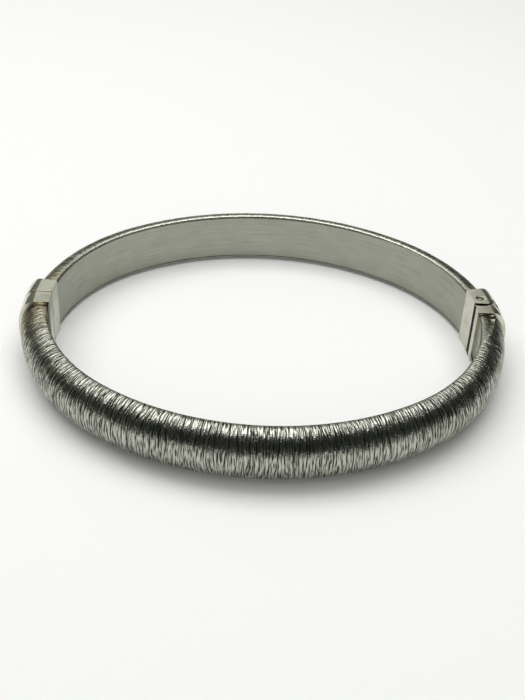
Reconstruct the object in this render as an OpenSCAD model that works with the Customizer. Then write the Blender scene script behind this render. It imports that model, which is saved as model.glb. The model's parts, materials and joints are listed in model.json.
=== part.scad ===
// Hinged oval bangle: two hollow D-section halves with polished end collars,
// a three-knuckle pin hinge on the +X side and a box clasp on the -X side.
// Millimetres. Origin: centre of the oval, on the plane it lies on. +Z up, front half at -Y.

/* [Oval] */
// Length of the wrist opening, along X
inner_long = 60; // [54:0.5:66]
// How flat the oval is: its width is less than its length by four times this
flatness = 1.8; // [1:0.1:2.4]

/* [Band section] */
// Height of the textured band
band_h = 7.6; // [7.2:0.1:8]
// Thickness of the band at the crown of its dome
band_t = 3.6; // [3.4:0.1:3.8]
// Fullness of the dome: 2 is an ellipse, higher is squarer
dome_p = 2.1; // [2:0.05:3]
// Thickness of the domed skin
skin = 0.55; // [0.45:0.05:0.6]
// Thickness of the flat inner liner
liner_t = 0.45; // [0.35:0.05:0.5]
// How far the front liner sits back from the skin's edge
front_recess = 0.15; // [0:0.05:0.2]

/* [Collars] */
// Height of the polished collars
collar_h = 8.4; // [8.2:0.1:8.8]
// How far a collar stands in from the inner curve
collar_in = 0.4; // [0.3:0.05:0.5]
// How far a collar stands out from the band's crown
collar_out = 0.6; // [0.4:0.05:0.8]
// Where a collar's flat top ends and its shoulder starts, from the inner curve
collar_flat = 1.9; // [1.6:0.1:2.2]
// Fullness of a collar's shoulder
collar_p = 2.2; // [2:0.05:2.6]

/* [Hinge] */
// Pin centre along X
pin_x = 30.5; // [30.4:0.05:30.6]
// Pin centre along Y
pin_y = 4.4; // [4.2:0.05:4.6]
// Pin radius
pin_r = 0.4; // [0.35:0.01:0.42]
// Running clearance between the pin and the middle knuckle
pin_play = 0.03; // [0.02:0.01:0.06]
// From the pin back to the seam between the two hinge collars
seam_back = 1.5; // [1.4:0.05:1.6]
// How far the front half swings open, in degrees
open_angle = 42; // [30:1:44]

/* [Clasp] */
// Middle of the tongue at the seam, from the inner curve
tongue_t = 1.3; // [1.25:0.05:1.35]
// Width of the tongue's leaves
leaf_w = 1; // [0.8:0.05:1.1]
// Thickness of a leaf
leaf_t = 0.3; // [0.25:0.05:0.35]

/* [Hidden] */
$fn = 120;
big = 100;       // reach of the cutting boxes
eps = 0.01;

mid_z = collar_h / 2;

// the oval: four tangent arcs, the side ones about (+-side_cx, 0), the others about (0, -+long_cy);
// the centres make 3:4:5 triangles, so that the arcs meet exactly
side_cx = 3 * flatness;
long_cy = 4 * flatness;
side_r = inner_long / 2 - side_cx;
long_r = side_r + 5 * flatness;
join_a = atan2(4, 3);                    // where a side arc meets a long arc
lap_a = 1;                               // the two halves of a long arc share this much

// where the collars end, as angles about their side arc's centre
hinge_back_a = 15.5;
hinge_front_a = 1.4;
clasp_back_a = 7.2;
clasp_front_a = 6.4;
seam_gap = 0.2;

// sections
band_step = 7.5;                         // steps of the rounded outlines, in degrees
collar_step = 5;
inner_h = band_h / 2 - skin;             // half height of the band's hollow
inner_t = band_t - skin;
collar_t = band_t + collar_out;          // a collar's crown, from the inner curve
plate_z = mid_z - 0.65;                  // half height of a collar's hollow
hollow_t = band_t - 0.25;                // crown of a collar's hollow
hollow_in = 0.4 - collar_in;             // inner side of a collar's hollow
hollow_flat = 0.5;                       // where its dome starts
hollow_p = 2.45;                         // fullness of its dome, which clears the hinge's knuckles
end_plate_t = 0.5;
end_plate_a = 1.1;                       // the same for the hinge's end plates, as an angle

// hinge
seam_y = pin_y - seam_back;              // middle of the hinge seam
barrel_r = 0.75;
barrel_half = 2.15;                      // half length of the middle knuckle's barrel
pin_t = norm([pin_x - side_cx, pin_y]) - side_r;   // the pin, from the inner curve
swing_play = 0.1;                        // room round the front half as it swings
ring_step = 7.5;
room_step = 15;                          // the room it swings in has a plainer outline
ring_a = 3.5 * room_step;                // the ring's rim, as an angle of the collar's dome
ring_z = mid_z * pow(sin(ring_a), 2 / collar_p);
ring_flush = 0.03;                       // the ring lies this far under the collars' crown
crown_step = 0.05;                       // the flush crown stops this far inside the ring's flat ends
ring_end_a = 40;                         // the ring's last angle about the pin
back_skin_a = ring_end_a + 3;            // the back collar's outer skin starts here
swing_end_a = ring_end_a + open_angle + 4;   // the room it swings in ends here
swing_lap_a = 5;
swing_r = 6;                             // reach of that room about the pin
knuckle_gap = 0.05;
knuckle_room = 2;                        // height of the room for the outer knuckles
nose_r = 1.75;                           // round nose of the back collar's top and bottom plates
nose_play = 0.3;                         // lens-shaped gap in front of it
nose_a = 15;                             // the nose's last angle about the pin
rivet_r = 0.62;
rivet_sink = 0.12;
rivet_h = 0.3;
rivet_dimple = 0.14;
hinge_plate_a = 18.6;                    // start of the back half's end plate

// clasp
path_r = norm([pin_x + side_cx + side_r + tongue_t, pin_y]);   // the tongue's path about the pin
leaf_gap = 1;                            // from mid height to the near face of a leaf
slot_play = 0.15;
box_wall = 0.25;
box_half = 1.75;                         // half height of the catch box
box_lead = 0.08;                         // the box is square to the tongue's path, so it starts behind the plate
tongue_tip = 3.7;
box_end = 4.2;
tongue_root = -2.3;                      // front face of the front half's clasp plate
leaf_start = -1.65;
fold_w = 0.35;
fold_gap = 0.05;                         // between the fold's foot and the lower leaf, which bends there
thumb_y0 = -1.5;
thumb_y1 = -0.2;
thumb_z0 = 0.15;
thumb_h = 0.8;
thumb_stem = 0.5;                        // thickness of its foot on the lower leaf
thumb_play = 0.1;
thumb_room = 0.5;                        // the thumb piece swings forward by less than this

silver = [0.80, 0.80, 0.76];
satin = [0.66, 0.67, 0.62];
dark_silver = [0.52, 0.52, 0.47];

// ---- sections -------------------------------------------------------------

// half of a rounded outline, from the bottom edge over the crown to the top edge
function dome(start, crown, half_h, p, step = band_step) = [
    for (a = [-90 : step : 90])
        [start + (crown - start) * pow(cos(a), 2 / p),
         half_h * sign(sin(a)) * pow(abs(sin(a)), 2 / p)]
];

function backwards(list) = [for (i = [len(list) - 1 : -1 : 0]) list[i]];

module skin_section()
    polygon(concat(dome(0, band_t, band_h / 2, dome_p), backwards(dome(0, inner_t, inner_h, dome_p))));

module liner_section(recess) intersection() {
    polygon(dome(0, inner_t, inner_h, dome_p));
    translate([recess, -inner_h]) square([liner_t, 2 * inner_h]);
}

module collar_outline()
    polygon(concat([[-collar_in, -mid_z]], dome(collar_flat, collar_t, mid_z, collar_p, collar_step),
                   [[-collar_in, mid_z]]));

module collar_hollow()
    polygon(concat([[hollow_in, -plate_z]], dome(hollow_flat, hollow_t, plate_z, hollow_p),
                   [[hollow_in, plate_z]]));

module collar_section() difference() {
    collar_outline();
    collar_hollow();
}

// what closes the band's hollow, outside the liner
module end_section() intersection() {
    polygon(dome(0, inner_t, inner_h, dome_p));
    translate([liner_t + front_recess, -big]) square([big, 2 * big]);
}

// ---- sweeps ---------------------------------------------------------------

// one quarter of the band, from the middle of a long arc to angle a on the side arc;
// x_side is 1 at the hinge and -1 at the clasp, y_side is 1 at the back and -1 at the front
module quarter(x_side, y_side, a)
    mirror([x_side < 0 ? 1 : 0, 0, 0]) mirror([0, y_side < 0 ? 1 : 0, 0]) translate([0, 0, mid_z]) {
        translate([side_cx, 0, 0]) rotate(join_a) mirror([0, 1, 0])
            rotate_extrude(angle = join_a - a) translate([side_r, 0]) children();
        translate([0, -long_cy, 0]) rotate(join_a)
            rotate_extrude(angle = 90 - join_a + lap_a) translate([long_r, 0]) children();
    }

module along_back(hinge_a, clasp_a) {
    quarter(1, 1, hinge_a) children();
    quarter(-1, 1, clasp_a) children();
}

module along_front(hinge_a, clasp_a) {
    quarter(1, -1, -hinge_a) children();
    quarter(-1, -1, clasp_a) children();
}

// part of a side arc, as angles from its middle, positive towards the back
module along_side(x_side, a0, a1)
    mirror([x_side < 0 ? 1 : 0, 0, 0]) translate([side_cx, 0, mid_z]) rotate(a0)
        rotate_extrude(angle = a1 - a0) translate([side_r, 0]) children();

// about the pin, as angles from +X
module about_pin(a0, a1)
    translate([pin_x, pin_y, mid_z]) rotate(a0) rotate_extrude(angle = a1 - a0) children();

module pin_sector(r, a0, a1, z0, z1)
    about_pin(a0, a1) translate([0, z0]) square([r, z1 - z0]);

// along the tongue's path, between two values of y at the clasp
function path_a(y) = 180 + asin((pin_y - y) / path_r);
module along_path(y0, y1) about_pin(path_a(y1), path_a(y0)) translate([path_r, 0]) children();

module between_y(y0, y1) intersection() {
    children();
    translate([-big, y0, -big]) cube([2 * big, y1 - y0, 2 * big]);
}

module at_pin(z, h, r) translate([pin_x, pin_y, z]) cylinder(h = h, r = r);

// ---- back half ------------------------------------------------------------

module back_shell() color(dark_silver) difference() {
    along_back(hinge_back_a, clasp_back_a) skin_section();
    about_pin(back_skin_a, swing_end_a) ring_section(swing_play, room_step);
}

module back_liner() color(satin)
    along_back(hinge_back_a, clasp_back_a) liner_section(0);

// everything that the front half sweeps through inside the back half's hinge end
module swing_room() {
    about_pin(back_skin_a - swing_lap_a, swing_end_a) ring_section(swing_play, room_step);
    pin_sector(swing_r, -90, back_skin_a, -plate_z, plate_z);
}

module back_hinge_collar() color(silver) difference() {
    between_y(seam_y + seam_gap / 2, big) along_side(1, 0, hinge_back_a) collar_section();
    swing_room();
    for (z = [0, mid_z + plate_z]) difference() {
        translate([0, 0, z - mid_z - eps]) pin_sector(swing_r, -90, nose_a, 0, mid_z - plate_z + 2 * eps);
        at_pin(-1, big, nose_r);
    }
    at_pin(-1, big, pin_r + eps);
    for (z = [-eps, collar_h - rivet_sink - rivet_h]) at_pin(z, rivet_sink + rivet_h + eps, rivet_r);
}

module back_clasp_collar() color(silver)
    between_y(seam_gap / 2, big) along_side(-1, 0, clasp_back_a) collar_section();

module back_hinge_end_plate() color(satin)
    along_side(1, hinge_plate_a, hinge_plate_a + end_plate_a) end_section();

module clasp_slot_plate() color(satin) difference() {
    between_y(seam_gap / 2, seam_gap / 2 + end_plate_t) along_side(-1, 0, clasp_back_a) collar_hollow();
    along_path(-1, 2) tongue_slot();
}

module tongue_slot() {
    half_w = leaf_w / 2 + slot_play;
    half_h = box_half - box_wall;
    translate([-half_w, -half_h]) square([2 * half_w, 2 * half_h]);
}

module clasp_box() color(satin) {
    start = seam_gap / 2 + end_plate_t + box_lead;
    half_w = leaf_w / 2 + slot_play + box_wall;
    difference() {
        along_path(start, box_end) translate([-half_w, -box_half]) square(2 * [half_w, box_half]);
        along_path(start - 1, box_end - box_wall) tongue_slot();
    }
}

module hinge_knuckle(z0) difference() {
    at_pin(z0, plate_z - barrel_half - knuckle_gap, barrel_r);
    at_pin(-1, big, pin_r + eps);
}

module hinge_knuckle_top() color(silver) hinge_knuckle(mid_z + barrel_half + knuckle_gap);
module hinge_knuckle_bottom() color(silver) hinge_knuckle(mid_z - plate_z);

// the pin's ends are riveted over into the sinks of the collar's plates
module hinge_pin() color(satin) difference() {
    union() {
        at_pin(rivet_sink, collar_h - 2 * rivet_sink, pin_r);
        for (z = [rivet_sink, collar_h - rivet_sink - rivet_h]) at_pin(z, rivet_h, rivet_r - eps);
    }
    for (z = [rivet_sink, collar_h - rivet_sink]) translate([pin_x, pin_y, z]) sphere(r = rivet_dimple);
}

// ---- front half -----------------------------------------------------------

module front_shell() color(dark_silver)
    along_front(hinge_front_a, clasp_front_a) skin_section();

module front_liner() color(satin)
    along_front(hinge_front_a, clasp_front_a) liner_section(front_recess);

module front_hinge_collar() color(silver) difference() {
    between_y(-big, seam_y - seam_gap / 2) along_side(1, hinge_front_a, hinge_back_a) collar_section();
    for (z = [-eps, mid_z + plate_z]) at_pin(z, mid_z - plate_z + eps, nose_r + nose_play);
}

module front_clasp_collar() color(silver) difference() {
    between_y(-big, -seam_gap / 2) along_side(-1, -clasp_front_a, 0) collar_section();
    thumb_notch();
}

module thumb_notch() {
    half_w = leaf_w / 2 + slot_play + thumb_play;
    translate([-side_cx - side_r - tongue_t - half_w, thumb_y0 - thumb_room, -1])
        cube([2 * half_w, big, thumb_z0 + thumb_h + 1 + thumb_play]);
}

module front_hinge_end_plate() color(satin)
    along_side(1, hinge_front_a - end_plate_a, hinge_front_a) end_section();

module front_clasp_end_plate() color(satin)
    between_y(tongue_root - end_plate_t, tongue_root)
        along_side(-1, -clasp_front_a, 0) collar_hollow();

// the middle knuckle's outer ring: it turns about the pin just under the collars' crown
module ring_section(extra, step) polygon(concat(
    [[0, -ring_z - extra]],
    [for (a = [-ring_a : step : ring_a])
        [collar_flat + (collar_t - collar_flat) * pow(cos(a), 2 / collar_p) - pin_t - ring_flush + extra,
         (mid_z + extra) * sign(a) * pow(sin(abs(a)), 2 / collar_p)]],
    [[0, ring_z + extra]]));

module hinge_knuckle_middle() color(silver) difference() {
    union() {
        at_pin(mid_z - barrel_half, 2 * barrel_half, barrel_r);
        between_y(seam_y - seam_gap / 2, big) about_pin(-90, ring_end_a) ring_section(0, ring_step);
        // flush with the front collar's crown as far back as the pin
        intersection() {
            along_side(1, 0, hinge_back_a) collar_outline();
            translate([pin_x, seam_y - seam_gap / 2, mid_z - ring_z + crown_step])
                cube([big, pin_y - seam_y + seam_gap / 2, 2 * (ring_z - crown_step)]);
        }
        // root, soldered in the front collar's hollow
        between_y(-big, seam_y - seam_gap / 2) along_side(1, hinge_front_a, hinge_back_a) collar_hollow();
    }
    at_pin(-1, big, pin_r + pin_play);
    for (z = [mid_z + barrel_half, mid_z - barrel_half - knuckle_room])
        at_pin(z, knuckle_room, barrel_r + swing_play);
}

module leaf_section(z0) translate([-leaf_w / 2, z0]) square([leaf_w, leaf_t]);

// the fixed leaf, folded down at its tip to where the lower leaf bends
module tongue_fixed_leaf() color(satin) {
    along_path(tongue_root, tongue_tip) leaf_section(leaf_gap);
    along_path(tongue_tip - fold_w, tongue_tip)
        translate([-leaf_w / 2, -leaf_gap - leaf_t]) square([leaf_w, 2 * leaf_gap + 1.5 * leaf_t]);
}

module tongue_spring_leaf() color(satin)
    along_path(leaf_start, tongue_tip - fold_w - fold_gap) leaf_section(-leaf_gap - leaf_t);

module thumb_piece() color(silver) {
    along_path(thumb_y0, thumb_y1)
        translate([-leaf_w / 2, thumb_z0 - mid_z]) square([leaf_w, thumb_h]);
    along_path(thumb_y0, thumb_y0 + thumb_stem)
        translate([-leaf_w / 2, thumb_z0 - mid_z]) square([leaf_w, mid_z - leaf_gap - leaf_t - thumb_z0]);
}

back_shell();
back_liner();
back_hinge_collar();
back_clasp_collar();
back_hinge_end_plate();
clasp_slot_plate();
clasp_box();
hinge_knuckle_top();
hinge_knuckle_bottom();
hinge_pin();
front_shell();
front_liner();
front_hinge_collar();
front_clasp_collar();
front_hinge_end_plate();
front_clasp_end_plate();
hinge_knuckle_middle();
tongue_fixed_leaf();
tongue_spring_leaf();
thumb_piece();
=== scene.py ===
import json
import math

import bmesh
import bpy
from mathutils import Matrix, Vector, noise


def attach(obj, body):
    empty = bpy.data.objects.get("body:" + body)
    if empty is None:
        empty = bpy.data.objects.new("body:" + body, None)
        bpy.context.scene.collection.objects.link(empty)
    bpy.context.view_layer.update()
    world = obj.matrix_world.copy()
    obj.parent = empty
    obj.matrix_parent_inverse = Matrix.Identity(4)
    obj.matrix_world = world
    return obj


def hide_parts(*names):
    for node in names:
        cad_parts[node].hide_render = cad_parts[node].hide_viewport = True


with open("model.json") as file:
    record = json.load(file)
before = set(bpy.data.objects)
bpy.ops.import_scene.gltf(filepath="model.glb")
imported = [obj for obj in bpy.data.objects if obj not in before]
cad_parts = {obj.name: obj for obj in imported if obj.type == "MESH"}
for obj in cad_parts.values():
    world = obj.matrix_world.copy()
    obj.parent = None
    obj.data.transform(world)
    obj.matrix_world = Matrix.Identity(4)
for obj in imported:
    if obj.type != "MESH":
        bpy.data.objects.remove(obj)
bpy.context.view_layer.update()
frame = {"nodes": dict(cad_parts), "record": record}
nodes = frame["nodes"]
mm = 0.001
scene = bpy.context.scene
scene.view_settings.view_transform = "Standard"
print("frame loaded:", len(nodes), "CAD pieces")

# The oval of the bangle: side arcs about (+-sideX, 0) and long arcs about (0, -+longY), in millimetres.
# The centres make 3:4:5 triangles, so one arc runs smoothly into the next.
oval = {"innerLong": 60.0, "flatness": 1.8, "midHeight": 4.2, "midThickness": 2}
sideX = 3 * oval["flatness"]
longY = 4 * oval["flatness"]
sideRadius = oval["innerLong"] / 2 - sideX
longRadius = sideRadius + 5 * oval["flatness"]
joinAngle = math.atan2(4, 3)


class Wire:
    # a socket in a node tree; sums on wires add Math nodes

    def __init__(self, tree, socket=None):
        self.tree = tree
        self.socket = socket

    def node(self, kind, settings=None, inputs=None, output=0):
        made = self.tree.nodes.new(kind)
        for name, value in (settings or {}).items():
            if name == "stops":
                while len(made.color_ramp.elements) < len(value):
                    made.color_ramp.elements.new(0.5)
                for stop, (place, color) in zip(made.color_ramp.elements, value):
                    stop.position = place
                    stop.color = color if len(color) == 4 else (*color, 1)
            else:
                setattr(made, name, value)
        for name, value in (inputs or {}).items():
            socket = made.inputs[name]
            if isinstance(value, Wire):
                self.tree.links.new(value.socket, socket)
            else:
                socket.default_value = value
        return Wire(self.tree, made.outputs[output])

    def sum(self, operation, first, second, clamp=False):
        settings = {"operation": operation, "use_clamp": clamp}
        return self.node("ShaderNodeMath", settings, {0: first, 1: second})

    def __add__(self, other):
        return self.sum("ADD", self, other)

    def __radd__(self, other):
        return self.sum("ADD", other, self)

    def __sub__(self, other):
        return self.sum("SUBTRACT", self, other)

    def __rsub__(self, other):
        return self.sum("SUBTRACT", other, self)

    def __mul__(self, other):
        return self.sum("MULTIPLY", self, other)

    def __rmul__(self, other):
        return self.sum("MULTIPLY", other, self)


def newMetal(name):
    # a metal with its shader, and a wire to build on
    material = bpy.data.materials.new(name)
    material.use_nodes = True
    tree = material.node_tree
    shader = tree.nodes["Principled BSDF"]
    shader.inputs["Metallic"].default_value = 1.0
    return material, shader, Wire(tree)


def feed(wire, shader, socketName):
    wire.tree.links.new(wire.socket, shader.inputs[socketName])


def readLayer(start, name):
    # a number that the piece's mesh holds at each point
    return start.node("ShaderNodeAttribute", {"attribute_name": name}, output="Fac")


def bandNoise(start, grain, detail, **more):
    # noise that follows the band; grain is how many grains lie in a millimetre along it and across it
    along, across = readLayer(start, "along") * grain[0], readLayer(start, "across") * grain[1]
    place = start.node("ShaderNodeCombineXYZ", {}, {"X": along, "Y": across})
    return start.node("ShaderNodeTexNoise", {}, {"Vector": place, "Scale": 1.0, "Detail": detail, **more})


def pieceNoise(start, grain, detail):
    # noise that fills the piece; grain is how many grains lie in a metre
    place = start.node("ShaderNodeTexCoord", {}, output="Object")
    return start.node("ShaderNodeTexNoise", {}, {"Vector": place, "Scale": grain, "Detail": detail})


def roughen(height, shader, strength, distance):
    # a bump on the surface, its distance in millimetres
    inputs = {"Height": height, "Strength": strength, "Distance": distance * mm}
    feed(height.node("ShaderNodeBump", {}, inputs), shader, "Normal")


def mixColor(start, mask, first, second):
    return start.node("ShaderNodeMix", {"data_type": "RGBA"}, {0: mask, 6: first, 7: second}, output=2)


barkLook = {
    "ridge": (0.50, 0.505, 0.44, 1), "ridgeStop": 0.05, "ridgeRoughness": 0.17,
    "hollow": (0.022, 0.021, 0.015, 1), "hollowStop": 0.75, "hollowRoughness": 0.5,
    "tarnish": (0.30, 0.235, 0.12, 1), "tarnishRoughness": 0.04,
    "fineGrain": (9.0, 0.9), "fineDark": 0.9,  # thin dark lines between the cuts
    "cloudGrain": (0.5, 0.4), "cloudTarnish": 1.5,
    "scratchGrain": (14.0, 1.2), "scratchShare": 0.35,
    "chatterGrain": (6.0, 4.5), "chatterShare": 0.65,
    "scratchHeight": 0.06,
}


def barkSilver():
    # engraved silver: bright ridges, darkened grooves, brown tarnish beside the collars
    look = barkLook
    material, shader, start = newMetal("barkSilver")
    tarnish = readLayer(start, "tarnish")
    fine = bandNoise(start, look["fineGrain"], 4.0)
    cloud = bandNoise(start, look["cloudGrain"], 2.0)
    dark = start.sum("ADD", readLayer(start, "groove"), (fine - 0.5) * look["fineDark"], clamp=True)
    stops = [(look["ridgeStop"], look["ridge"]), (look["hollowStop"], look["hollow"])]
    color = start.node("ShaderNodeValToRGB", {"stops": stops}, {"Fac": dark})
    brown = start.sum("MULTIPLY", tarnish, cloud * look["cloudTarnish"], clamp=True)
    feed(mixColor(start, brown, color, look["tarnish"]), shader, "Base Color")
    spread = look["hollowRoughness"] - look["ridgeRoughness"]
    feed(look["ridgeRoughness"] + dark * spread + tarnish * look["tarnishRoughness"], shader, "Roughness")
    scratch = bandNoise(start, look["scratchGrain"], 2.0)
    chatter = bandNoise(start, look["chatterGrain"], 2.0)
    height = scratch * look["scratchShare"] + chatter * look["chatterShare"]
    roughen(height, shader, 1.0, look["scratchHeight"])
    return material


satinLook = {
    "bright": (0.37, 0.385, 0.32, 1), "brightStop": 0.62,
    "dull": (0.27, 0.28, 0.23, 1), "dullStop": 0.35,
    "streakGrain": (0.12, 7.0), "streakShare": 0.7,
    "cloudGrain": (0.35, 0.5), "cloudShare": 0.3, "cloudRoughness": 0.16,
    "roughness": 0.32, "streakStrength": 0.5, "streakHeight": 0.012,
}


def satinSilver():
    # drawn strip: long fine streaks along the band
    look = satinLook
    material, shader, start = newMetal("satinSilver")
    streak = bandNoise(start, look["streakGrain"], 5.0, Roughness=0.6)
    cloud = bandNoise(start, look["cloudGrain"], 2.0)
    stops = [(look["dullStop"], look["dull"]), (look["brightStop"], look["bright"])]
    mixed = streak * look["streakShare"] + cloud * look["cloudShare"]
    feed(start.node("ShaderNodeValToRGB", {"stops": stops}, {"Fac": mixed}), shader, "Base Color")
    feed(look["roughness"] + (cloud - 0.5) * look["cloudRoughness"], shader, "Roughness")
    roughen(streak, shader, look["streakStrength"], look["streakHeight"])
    return material


polishLook = {
    "bright": (0.64, 0.635, 0.545, 1),
    "tarnish": (0.42, 0.38, 0.27, 1), "tarnishShare": 0.6, "tarnishFrom": 0.5, "tarnishTo": 0.75,
    # painted shade: the near-black colour and extra roughness given to the faces inside the seam gaps
    "joint": (0.02, 0.018, 0.012, 1), "paintedSeamShadeRoughness": 0.5,
    "cloudGrain": 420.0, "cloudRoughness": 0.1, "roughness": 0.13,
    "wearGrain": 2600.0, "wearStrength": 0.4, "wearHeight": 0.004,
}


def polishedSilver():
    # polished silver with faint handling marks, a thin warm tarnish, and painted shade: near-black colour
    # on the faces inside the seams and beside the pin
    look = polishLook
    material, shader, start = newMetal("polishedSilver")
    cloud = pieceNoise(start, look["cloudGrain"], 3.0)
    ranges = {"Value": cloud, 1: look["tarnishFrom"], 2: look["tarnishTo"]}
    thin = start.node("ShaderNodeMapRange", {}, ranges)
    # painted shade: the mask of faces in the seam gaps and on the nose beside the pin, where shadow falls
    # between the collars
    joint = readLayer(start, "joint")
    color = mixColor(start, thin * look["tarnishShare"], look["bright"], look["tarnish"])
    feed(mixColor(start, joint, color, look["joint"]), shader, "Base Color")
    worn = look["roughness"] + cloud * look["cloudRoughness"]
    feed(worn + joint * look["paintedSeamShadeRoughness"], shader, "Roughness")
    roughen(pieceNoise(start, look["wearGrain"], 4.0), shader, look["wearStrength"], look["wearHeight"])
    return material


stripLook = {
    "color": (0.55, 0.55, 0.50, 1), "shade": (0.30, 0.29, 0.25, 1), "roughness": 0.32,
    "grain": 1500.0, "grainRoughness": 0.15, "grainStrength": 0.3, "grainHeight": 0.005,
}


def stripMetal():
    # plain rolled strip and wire, for what is inside and for the pin
    look = stripLook
    material, shader, start = newMetal("stripMetal")
    grain = pieceNoise(start, look["grain"], 4.0)
    feed(mixColor(start, grain, look["color"], look["shade"]), shader, "Base Color")
    feed(look["roughness"] + grain * look["grainRoughness"], shader, "Roughness")
    roughen(grain, shader, look["grainStrength"], look["grainHeight"])
    return material


finishes = {
    "bark_silver": barkSilver(),
    "satin_silver": satinSilver(),
    "polished_silver": polishedSilver(),
    "spring_metal": stripMetal(),
}
print("materials made")


def domeHalf(crown, halfHeight, power, start, steps):
    # a rounded outline from the lower edge over the crown to the upper edge, as (out, up) pairs
    points = []
    for i in range(steps + 1):
        angle = math.pi * (i / steps - 0.5)
        out = start + (crown - start) * max(math.cos(angle), 0) ** (2 / power)
        up = halfHeight * math.copysign(abs(math.sin(angle)) ** (2 / power), math.sin(angle))
        points.append((out, up))
    return points


def roundRim(points, rimShape):
    # rounds the rim of a dome's outline, from the inner plane to where the dome takes over
    reach, level, drop = rimShape["reach"], rimShape["level"], rimShape["drop"]
    arc = []
    for i in range(rimShape["steps"]):
        angle = math.pi / 2 * i / rimShape["steps"]
        arc.append((reach * (1 - math.cos(angle)), level - drop * (1 - math.sin(angle))))
    kept = [point for point in points if point[0] > reach]
    return [(out, -up) for out, up in arc] + kept + arc[::-1]


def outline(bm, points, closed=True):
    # a wire of edges in the XZ plane, in metres: out from the inner curve, and up from mid height
    verts = [bm.verts.new((out * mm, 0, up * mm)) for out, up in points]
    following = verts[1:] + verts[:1] if closed else verts[1:]
    edges = [bm.edges.new(pair) for pair in zip(verts, following)]
    return verts, edges


def turn(angle):
    return Matrix.Rotation(angle, 4, "Z")


def sweepHalf(bm, verts, edges, hingeAngle, claspAngle, stepLength):
    # carries a section round the back half of the oval, from the hinge over the middle to the clasp
    bmesh.ops.translate(bm, verts=verts, vec=(sideRadius * mm, 0, oval["midHeight"] * mm))
    bmesh.ops.rotate(bm, verts=verts, cent=(0, 0, 0), matrix=turn(hingeAngle))
    bmesh.ops.translate(bm, verts=verts, vec=(sideX * mm, 0, 0))
    stretches = [
        ((sideX, 0), joinAngle - hingeAngle, sideRadius),
        ((0, -longY), math.pi - 2 * joinAngle, longRadius),
        ((-sideX, 0), joinAngle - claspAngle, sideRadius),
    ]
    geom = verts + edges
    for (cx, cy), angle, radius in stretches:
        steps = max(2, round(angle * (radius + oval["midThickness"]) / stepLength))
        made = bmesh.ops.spin(bm, geom=geom, cent=(cx * mm, cy * mm, 0), axis=(0, 0, 1),
                              angle=angle, steps=steps)
        geom = made["geom_last"]
    return [item for item in geom if isinstance(item, bmesh.types.BMEdge)]


def placeOnBand(co, front):
    # millimetres along the back half's inner curve from +X, for a point in metres; the same for the front
    x, y = co.x / mm, (-co.y if front else co.y) / mm
    sideAngle = math.atan2(y, abs(x) - sideX)
    quarter = sideRadius * joinAngle + longRadius * (math.pi / 2 - joinAngle)
    if sideAngle < joinAngle:
        reach = sideRadius * sideAngle
    else:
        reach = sideRadius * joinAngle + longRadius * (math.atan2(y + longY, abs(x)) - joinAngle)
    return reach if x > 0 else 2 * quarter - reach


def finishPiece(bm, name, nodeName, body, slot, smoothDegrees=35, flats=False):
    bmesh.ops.recalc_face_normals(bm, faces=bm.faces)
    for face in bm.faces:
        face.smooth = True
    for edge in bm.edges:
        if len(edge.link_faces) == 2 and edge.calc_face_angle(0) > math.radians(smoothDegrees):
            edge.smooth = False
    mesh = bpy.data.meshes.new(name)
    bm.to_mesh(mesh)
    bm.free()
    piece = bpy.data.objects.new(name, mesh)
    scene.collection.objects.link(piece)
    mesh.materials.append(finishes[slot])
    if flats:  # keeps flat faces flat beside rounded edges
        weighted = piece.modifiers.new("flats", "WEIGHTED_NORMAL")
        weighted.keep_sharp = True
        weighted.weight = 100
    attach(piece, body)
    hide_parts(nodeName)


skinShape = {
    "height": 7.6, "thickness": 3.6, "power": 2.1, "wall": 0.55,
    "sectionSteps": 42, "hollowSteps": 8, "stepLength": 0.55, "cuts": 11, "smoothDegrees": 75,
    "grooveDepth": 0.085, "smoothEnd": 0.3, "endFade": 0.5, "rimFade": 0.22, "backRimFade": 0.8,
    "rimSlack": 0.01,  # this near to the rim, the swelling goes straight up or down
    "swell": 0.36, "swellStart": 0.35, "swellLength": 7.0, "swellPower": 1.3,
    # plain facets along the front skin's rim, narrowing away from its ends, and a bead at the hinge
    "hingeFacet": 2.1, "hingeFacetLength": 9.0, "claspFacet": 0.9, "claspFacetLength": 6.0,
    "facetLevel": 0.3, "facetStreaks": 0.02, "facetStreakPitch": 0.55,
    "beadAlong": 0.55, "beadAcross": 2.2, "beadHeight": 0.26, "beadSize": 0.38,
    "claspTarnish": 0.8, "claspTarnishLength": 4, "hingeTarnish": 0.4, "hingeTarnishLength": 2.5,
}
rim = {"reach": 0.6, "level": 3.76, "drop": 0.27, "steps": 6, "wall": 0.34}
swingRoom = {"reach": 2.2, "stretch": 0.11}  # the back skin's hollow widens here for the knuckle's ring
barkCuts = [
    # spacing and width of the cuts in millimetres, how deep, how far they stray, how fast they waver,
    # how whole they are
    {"spacing": 0.37, "width": 0.074, "depth": 1.0, "stray": 0.8, "waver": 0.22, "whole": 0.72},
    {"spacing": 0.22, "width": 0.056, "depth": 0.85, "stray": 0.9, "waver": 0.40, "whole": 0.62},
]
barkShape = {
    # each layer: height, waves per millimetre along and across, and its own start
    "sway": [(0.30, 0.22, 0.22, 0), (0.06, 0.9, 0.8, 5)],
    "rough": [(0.28, 2.7, 1.7, 40), (0.24, 6.0, 4.2, 50)],
    "cellStep": 3.71, "cutStart": 20, "levelStart": 10, "cutReach": 2.5,
    "breakFiner": 3, "breakStart": 5, "breakContrast": 1.5,  # where a cut fades out and comes back
}


def layeredNoise(layers, along, across, seed):
    return sum(height * noise.noise(Vector((along * alongWaves, across * acrossWaves, seed + start)))
               for height, alongWaves, acrossWaves, start in layers)


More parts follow.
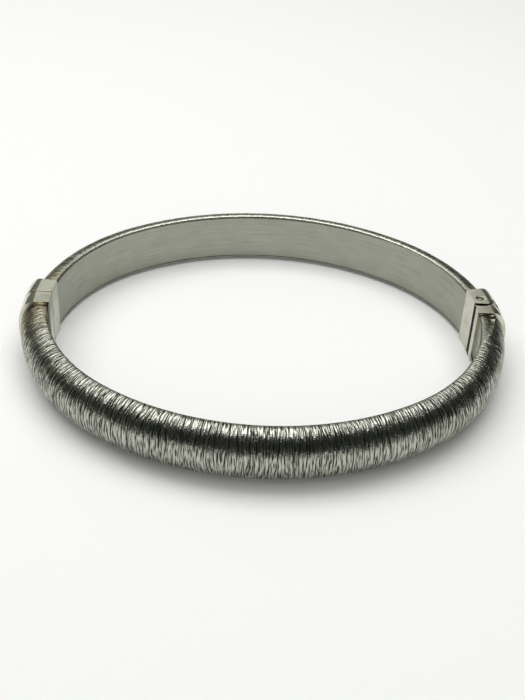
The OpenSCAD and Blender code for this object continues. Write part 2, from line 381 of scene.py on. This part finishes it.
def barkHeight(along, across, seed):
    # how deep the engraving is at a place, from 0 on a ridge to 1 in a cut, and how rough between cuts
    shape = barkShape
    line = along + layeredNoise(shape["sway"], along, across, seed)
    deepest = 0.0
    for level, cuts in enumerate(barkCuts):
        phase = line / cuts["spacing"]
        start = seed + shape["cutStart"] + shape["levelStart"] * level
        for cell in range(math.floor(phase) - 1, math.floor(phase) + 2):
            place = Vector((cell * shape["cellStep"], across * cuts["waver"], start))
            centre = cell + 0.5 + cuts["stray"] * noise.noise(place)
            away = abs(phase - centre) * cuts["spacing"] / cuts["width"]
            if away < shape["cutReach"]:
                place.y *= shape["breakFiner"]
                place.z += shape["breakStart"]
                strength = cuts["whole"] + shape["breakContrast"] * noise.noise(place)
                strength = max(0.0, min(1.0, strength))
                deepest = max(deepest, cuts["depth"] * strength * math.exp(-away * away))
    return deepest, layeredNoise(shape["rough"], line, across, seed)


def domedSkin(name, nodeName, body, front, hingeAngle, claspAngle, seed):
    shape = skinShape
    bm = bmesh.new()
    alongLayer = bm.verts.layers.float.new("along")
    acrossLayer = bm.verts.layers.float.new("across")
    outerLayer = bm.verts.layers.float.new("outer")
    grooveLayer = bm.verts.layers.float.new("groove")
    tarnishLayer = bm.verts.layers.float.new("tarnish")
    outer = domeHalf(shape["thickness"], shape["height"] / 2, shape["power"], 0, shape["sectionSteps"])
    inner = domeHalf(shape["thickness"] - shape["wall"], shape["height"] / 2 - rim["wall"],
                     shape["power"], 0, shape["hollowSteps"])
    outer = roundRim(outer, rim)
    verts, edges = outline(bm, outer + inner[::-1])
    run = 0.0
    for i, vert in enumerate(verts[:len(outer)]):
        if i:
            run += (vert.co - verts[i - 1].co).length / mm
        vert[acrossLayer] = run
    for vert in verts[:len(outer)]:
        vert[outerLayer] = 1.0
    bmesh.ops.contextual_create(bm, geom=edges)
    last = sweepHalf(bm, verts, edges, hingeAngle, claspAngle, shape["stepLength"])
    bmesh.ops.contextual_create(bm, geom=last)
    if front:
        bmesh.ops.scale(bm, vec=(1, -1, 1), verts=bm.verts)
    lengthwise = [edge for edge in bm.edges if edge.verts[0][outerLayer] > 0 and
                  abs(placeOnBand(edge.verts[0].co, front) - placeOnBand(edge.verts[1].co, front)) > 0.1]
    bmesh.ops.subdivide_edges(bm, edges=lengthwise, cuts=shape["cuts"], use_grid_fill=True)
    bmesh.ops.recalc_face_normals(bm, faces=bm.faces)
    bm.normal_update()
    places = [placeOnBand(vert.co, front) for vert in bm.verts]
    low, high = min(places), max(places)
    moves = []
    for vert, along in zip(bm.verts, places):
        vert[alongLayer] = along
        across = vert[acrossLayer]
        fromHinge, fromClasp = along - low, high - along
        nearest = min(fromHinge, fromClasp)
        margin = max(0.0, min(1.0, (nearest - shape["smoothEnd"]) / shape["endFade"]))
        facet = 0.0
        if front:
            facet = max(shape["hingeFacet"] * (1 - fromHinge / shape["hingeFacetLength"]),
                        shape["claspFacet"] * (1 - fromClasp / shape["claspFacetLength"]), 0.0)
        edgeDistance = min(run - across, across)
        fade = shape["rimFade"] if front else shape["backRimFade"]
        dome = max(0.0, min(1.0, (edgeDistance - facet) / fade)) if vert[outerLayer] > 0 else 0.0
        cut, rough = barkHeight(along, across, seed) if dome > 0 else (0.0, 0.0)
        cut *= margin * dome ** 2
        vert[grooveLayer] = cut
        brown = (shape["claspTarnish"] * math.exp(-(fromClasp / shape["claspTarnishLength"]) ** 2) +
                 shape["hingeTarnish"] * math.exp(-(fromHinge / shape["hingeTarnishLength"]) ** 2))
        vert[tarnishLayer] = min(1.0, brown)
        raised = max(0.0, 1 - nearest / shape["swellLength"]) ** shape["swellPower"]
        raised *= min(1.0, nearest / shape["swellStart"])
        level = shape["facetLevel"] + (1 - shape["facetLevel"]) * dome
        lift = shape["swell"] * raised * level if front and vert[outerLayer] > 0 else 0.0
        if front and across > run / 2 and vert[outerLayer] > 0:
            toBead = math.hypot(fromHinge - shape["beadAlong"], edgeDistance - shape["beadAcross"])
            lift += shape["beadHeight"] * math.exp(-(toBead / shape["beadSize"]) ** 2)
        if facet > edgeDistance > 0:
            streak = math.cos(2 * math.pi * edgeDistance / shape["facetStreakPitch"])
            lift -= shape["facetStreaks"] * (1 + streak)
        outward = vert.normal
        if not shape["rimSlack"] < across < run - shape["rimSlack"]:
            outward = Vector((0, 0, math.copysign(1, vert.normal.z)))
        move = outward * lift - vert.normal * shape["grooveDepth"] * (cut + rough * margin * dome)
        if not front and vert[outerLayer] == 0 and fromHinge < swingRoom["reach"]:
            radial = Vector((vert.co.x / mm - sideX, vert.co.y / mm, 0))
            out = radial.length - sideRadius
            stretch = swingRoom["stretch"] * (1 - fromHinge / swingRoom["reach"]) * min(1.0, max(0.0, out))
            height = Vector((0, 0, vert.co.z / mm - oval["midHeight"]))
            move += (radial.normalized() * out + height) * stretch
        moves.append(move * mm)
    for vert, move in zip(bm.verts, moves):
        vert.co += move
    finishPiece(bm, name, nodeName, body, "bark_silver", shape["smoothDegrees"])


# where the halves end, in degrees about the side arcs
ends = {"hingeBack": 15.5, "hingeFront": 1.4, "claspBack": 7.2, "claspFront": 6.4}
backAngles = [math.radians(ends["hingeBack"]), math.radians(ends["claspBack"])]
frontAngles = [math.radians(-ends["hingeFront"]), math.radians(ends["claspFront"])]
domedSkin("backSkin", "back_shell", "back_half", False, *backAngles, seed=3.0)
domedSkin("frontSkin", "front_shell", "front_half", True, *frontAngles, seed=61.0)
print("bark skins made")


linerShape = {
    "thickness": 0.45, "thinner": 0.05, "halfHeight": 3.38, "edge": 0.06, "rows": 8,
    "frontRecess": 0.15, "stepLength": 0.5,
    "frontStart": 200,  # the front strip's streaks start elsewhere in the pattern
}


def liner(name, nodeName, body, front, hingeAngle, claspAngle, recess):
    shape = linerShape
    bm = bmesh.new()
    alongLayer = bm.verts.layers.float.new("along")
    acrossLayer = bm.verts.layers.float.new("across")
    edge, top, rows = shape["edge"], shape["halfHeight"], shape["rows"]
    back = recess + shape["thickness"] - shape["thinner"]
    face = [(recess, -top + edge + (2 * top - 2 * edge) * i / rows) for i in range(rows + 1)]
    points = [(recess + edge, -top)] + face + [(recess + edge, top), (back, top), (back, -top)]
    verts, edges = outline(bm, points)
    for vert in verts:
        vert[acrossLayer] = vert.co.z / mm
    bmesh.ops.contextual_create(bm, geom=edges)
    last = sweepHalf(bm, verts, edges, hingeAngle, claspAngle, shape["stepLength"])
    bmesh.ops.contextual_create(bm, geom=last)
    if front:
        bmesh.ops.scale(bm, vec=(1, -1, 1), verts=bm.verts)
    for vert in bm.verts:
        vert[alongLayer] = placeOnBand(vert.co, front) + (shape["frontStart"] if front else 0)
    finishPiece(bm, name, nodeName, body, "satin_silver")


liner("backLiner", "back_liner", "back_half", False, *backAngles, recess=0.0)
liner("frontLiner", "front_liner", "front_half", True, *frontAngles, recess=linerShape["frontRecess"])
print("liners made")


polishedEdge = {"width": 0.07, "knuckleWidth": 0.05, "segments": 2, "sharpDegrees": 32,
                "weld": 0.002, "flatDegrees": 1.5}
pinPlace = {"x": 30.5, "y": 4.4, "seamBack": 1.5}
collarWall = {"depth": 0.4, "worn": 0.2, "plate": 3.55, "plateSlack": 0.02,
              "clear": 0.05, "clearRadius": 2.3}
# faces that lie in a seam, and those of the round nose beside the pin, with how squarely they face it;
# these get painted shade
seamFaces = {"reach": 0.16, "facing": 0.9, "noseFrom": 1.5, "noseTo": 2.2, "noseFacing": 0.5}


def fromPin(point):
    # distance from the pin's axis, for a point in millimetres
    return math.hypot(point.x - pinPlace["x"], point.y - pinPlace["y"])


def roundedCopy(nodeName, body, slot, width):
    # a copy of a CAD piece with its sharp edges rounded over, as polishing leaves them
    bm = bmesh.new()
    bm.from_mesh(nodes[nodeName].data)
    bmesh.ops.remove_doubles(bm, verts=bm.verts, dist=polishedEdge["weld"] * mm)
    bmesh.ops.dissolve_limit(bm, angle_limit=math.radians(polishedEdge["flatDegrees"]),
                             verts=bm.verts, edges=bm.edges)
    if "collar" in nodeName:  # inner walls worn a little thinner
        for vert in bm.verts:
            centreX = math.copysign(sideX, vert.co.x) * mm
            radial = Vector((vert.co.x - centreX, vert.co.y, 0))
            inward = sideRadius - radial.length / mm
            if inward > 0:
                share = min(1.0, inward / collarWall["depth"])
                vert.co += radial.normalized() * collarWall["worn"] * share * mm
    if nodeName == "front_hinge_collar":  # its wall clears the back collar's plates as it swings under them
        for vert in bm.verts:
            height = vert.co.z / mm - oval["midHeight"]
            onPlate = abs(abs(height) - collarWall["plate"]) < collarWall["plateSlack"]
            if fromPin(vert.co / mm) < collarWall["clearRadius"] and onPlate:
                vert.co.z -= math.copysign(collarWall["clear"], height) * mm
    sharp = [edge for edge in bm.edges if len(edge.link_faces) == 2 and
             edge.calc_face_angle(0) > math.radians(polishedEdge["sharpDegrees"])]
    bmesh.ops.bevel(bm, geom=sharp, offset=width * mm, offset_type="OFFSET",
                    segments=polishedEdge["segments"], profile=0.5, affect="EDGES",
                    clamp_overlap=True, material=-1)
    # painted shade: a mask that is 1 on faces in the seam gaps and beside the pin, which the material
    # paints near black
    paintedSeamShadeLayer = bm.loops.layers.float.new("joint")
    atHinge = "hinge" in nodeName
    seamY = pinPlace["y"] - pinPlace["seamBack"] if atHinge else 0.0
    for face in bm.faces:  # the faces inside the seams and on the nose beside the pin get painted shade, standing in for the shadow in the gaps
        middle = face.calc_center_median() / mm
        inSeam = abs(middle.y - seamY) < seamFaces["reach"] and abs(face.normal.y) > seamFaces["facing"]
        inNose = (atHinge and seamFaces["noseFrom"] < fromPin(middle) < seamFaces["noseTo"] and
                  abs(face.normal.z) < seamFaces["noseFacing"] and middle.y < pinPlace["y"])
        for loop in face.loops:
            loop[paintedSeamShadeLayer] = 1.0 if inSeam or inNose else 0.0
    finishPiece(bm, nodeName + "_rounded", nodeName, body, slot, flats=True)


for nodeName in ("back_clasp_collar", "back_hinge_collar"):
    roundedCopy(nodeName, "back_half", "polished_silver", polishedEdge["width"])
for nodeName in ("front_clasp_collar", "front_hinge_collar"):
    roundedCopy(nodeName, "front_half", "polished_silver", polishedEdge["width"])
roundedCopy("hinge_knuckle_middle", "front_half", "polished_silver", polishedEdge["knuckleWidth"])
print("collars rounded")

# the pin; each riveted end is a dimple, a ridge, a sunk ring and a raised lip
pinShape = {"radius": 0.4, "ring": 0.61, "sink": 0.18, "high": 8.28, "headDepth": 0.3,
            "spinSteps": 48, "weld": 0.0005, "smoothDegrees": 60}
pinHalf = pinShape["high"] - oval["midHeight"]
pinSink, pinNeck = pinHalf - pinShape["sink"], pinHalf - pinShape["headDepth"]
pinEnd = [  # out from the axis, and up
    (0.0, pinHalf - 0.15), (0.09, pinHalf - 0.14), (0.13, pinHalf + 0.01), (0.20, pinHalf + 0.04),
    (0.28, pinHalf - 0.01), (0.31, pinSink), (0.44, pinSink), (0.47, pinHalf + 0.03),
    (0.51, pinHalf + 0.10), (0.56, pinHalf + 0.11), (0.60, pinHalf + 0.06),
    (pinShape["ring"], pinHalf - 0.02), (pinShape["ring"], pinNeck), (pinShape["radius"], pinNeck),
]
bm = bmesh.new()
wire, wireEdges = outline(bm, pinEnd + [(out, -up) for out, up in pinEnd[::-1]], closed=False)
axisPoint = Vector((pinPlace["x"] * mm, pinPlace["y"] * mm, 0))
bmesh.ops.translate(bm, verts=wire, vec=axisPoint + Vector((0, 0, oval["midHeight"] * mm)))
bmesh.ops.spin(bm, geom=wire + wireEdges, cent=axisPoint, axis=(0, 0, 1),
               angle=2 * math.pi, steps=pinShape["spinSteps"], use_merge=True)
bmesh.ops.remove_doubles(bm, verts=bm.verts, dist=pinShape["weld"] * mm)
finishPiece(bm, "turnedPin", "hinge_pin", "back_half", "spring_metal", pinShape["smoothDegrees"])
print("pin made")

slotOf = {part["node"]: part["material_slot"] for part in frame["record"]["subparts"]}
for name, piece in nodes.items():
    piece.data.materials.clear()
    piece.data.materials.append(finishes[slotOf[name]])

# plain pale floor
floorShape = {"size": 2.0, "color": (0.93, 0.93, 0.92, 1), "roughness": 0.9}
floorMesh = bmesh.new()
bmesh.ops.create_grid(floorMesh, x_segments=1, y_segments=1, size=floorShape["size"])
mesh = bpy.data.meshes.new("floor")
floorMesh.to_mesh(mesh)
floorMesh.free()
floor = bpy.data.objects.new("floor", mesh)
scene.collection.objects.link(floor)
paper = bpy.data.materials.new("paper")
paper.use_nodes = True
paperShader = paper.node_tree.nodes["Principled BSDF"]
paperShader.inputs["Base Color"].default_value = floorShape["color"]
paperShader.inputs["Roughness"].default_value = floorShape["roughness"]
mesh.materials.append(paper)

camera = {"elevation": 34.8, "roll": 3.12, "distance": 157.4, "rise": 3.10, "side": 0.04,
          "lens": 57.2, "sensor": 36, "near": 0.005}
elevation = math.radians(camera["elevation"])
centre = Vector((0, 0, oval["midHeight"]))
forward = Vector((0, math.cos(elevation), -math.sin(elevation)))
upward = Vector((0, math.sin(elevation), math.cos(elevation)))
sideways = Vector((1, 0, 0))
eye = centre - camera["distance"] * forward - camera["rise"] * upward - camera["side"] * sideways
roll = math.radians(camera["roll"])
rightAxis = math.cos(roll) * sideways + math.sin(roll) * upward
upAxis = math.cos(roll) * upward - math.sin(roll) * sideways
cameraData = bpy.data.cameras.new("camera")
cameraData.lens = camera["lens"]
cameraData.sensor_width = camera["sensor"]
cameraData.sensor_fit = "AUTO"
cameraData.clip_start = camera["near"]
cameraObject = bpy.data.objects.new("camera", cameraData)
facing = Matrix((rightAxis, upAxis, -forward)).transposed().to_4x4()
cameraObject.matrix_world = Matrix.Translation(eye * mm) @ facing
scene.collection.objects.link(cameraObject)
scene.camera = cameraObject

# a wide softbox from overhead to behind, a small pale panel behind, and a dim room;
# the fill only lights the floor
studio = [
    {"name": "softbox", "width": 0.66, "depth": 0.32, "power": 1.75,
     "place": (-0.10, 0.10, 0.40), "aim": (-0.10, 0.10, 0)},
    {"name": "panel", "width": 0.40, "depth": 0.30, "power": 0.225,
     "place": (-0.015, 0.6, 0.44), "aim": (0, 0, 0)},
    {"name": "fill", "width": 0.8, "depth": 0.8, "power": 2.0,
     "place": (0, -0.35, 0.45), "aim": (0, 0, 0)},
]
for light in studio:
    lamp = bpy.data.lights.new(light["name"], "AREA")
    lamp.shape = "RECTANGLE"
    lamp.size = light["width"]
    lamp.size_y = light["depth"]
    lamp.energy = light["power"]
    lampObject = bpy.data.objects.new(light["name"], lamp)
    lampObject.location = light["place"]
    toAim = Vector(light["aim"]) - lampObject.location
    lampObject.rotation_euler = toAim.to_track_quat("-Z", "Y").to_euler()
    lampObject.visible_glossy = light["name"] != "fill"
    scene.collection.objects.link(lampObject)
world = bpy.data.worlds.new("studio")
scene.world = world
world.use_nodes = True
roomLook = {
    "front": (0.030, 0.036, 0.031, 1), "behind": (0.17, 0.18, 0.14, 1), "behindBlend": (-0.1, 0.45),
    "right": (0.07, 0.075, 0.06, 1), "rightBlend": (0.1, 0.6),
}
sky = Wire(world.node_tree)
direction = sky.node("ShaderNodeTexCoord", {}, output="Generated")


def roomBlend(axis, blend):
    # how far a direction turns towards one side of the room
    turned = sky.node("ShaderNodeSeparateXYZ", {}, {"Vector": direction}, output=axis)
    ranges = {"Value": turned, 1: blend[0], 2: blend[1]}
    return sky.node("ShaderNodeMapRange", {"interpolation_type": "SMOOTHSTEP"}, ranges)


back = mixColor(sky, roomBlend("X", roomLook["rightBlend"]), roomLook["behind"], roomLook["right"])
room = mixColor(sky, roomBlend("Y", roomLook["behindBlend"]), roomLook["front"], back)
world.node_tree.links.new(room.socket, world.node_tree.nodes["Background"].inputs["Color"])
print("camera and lights set")
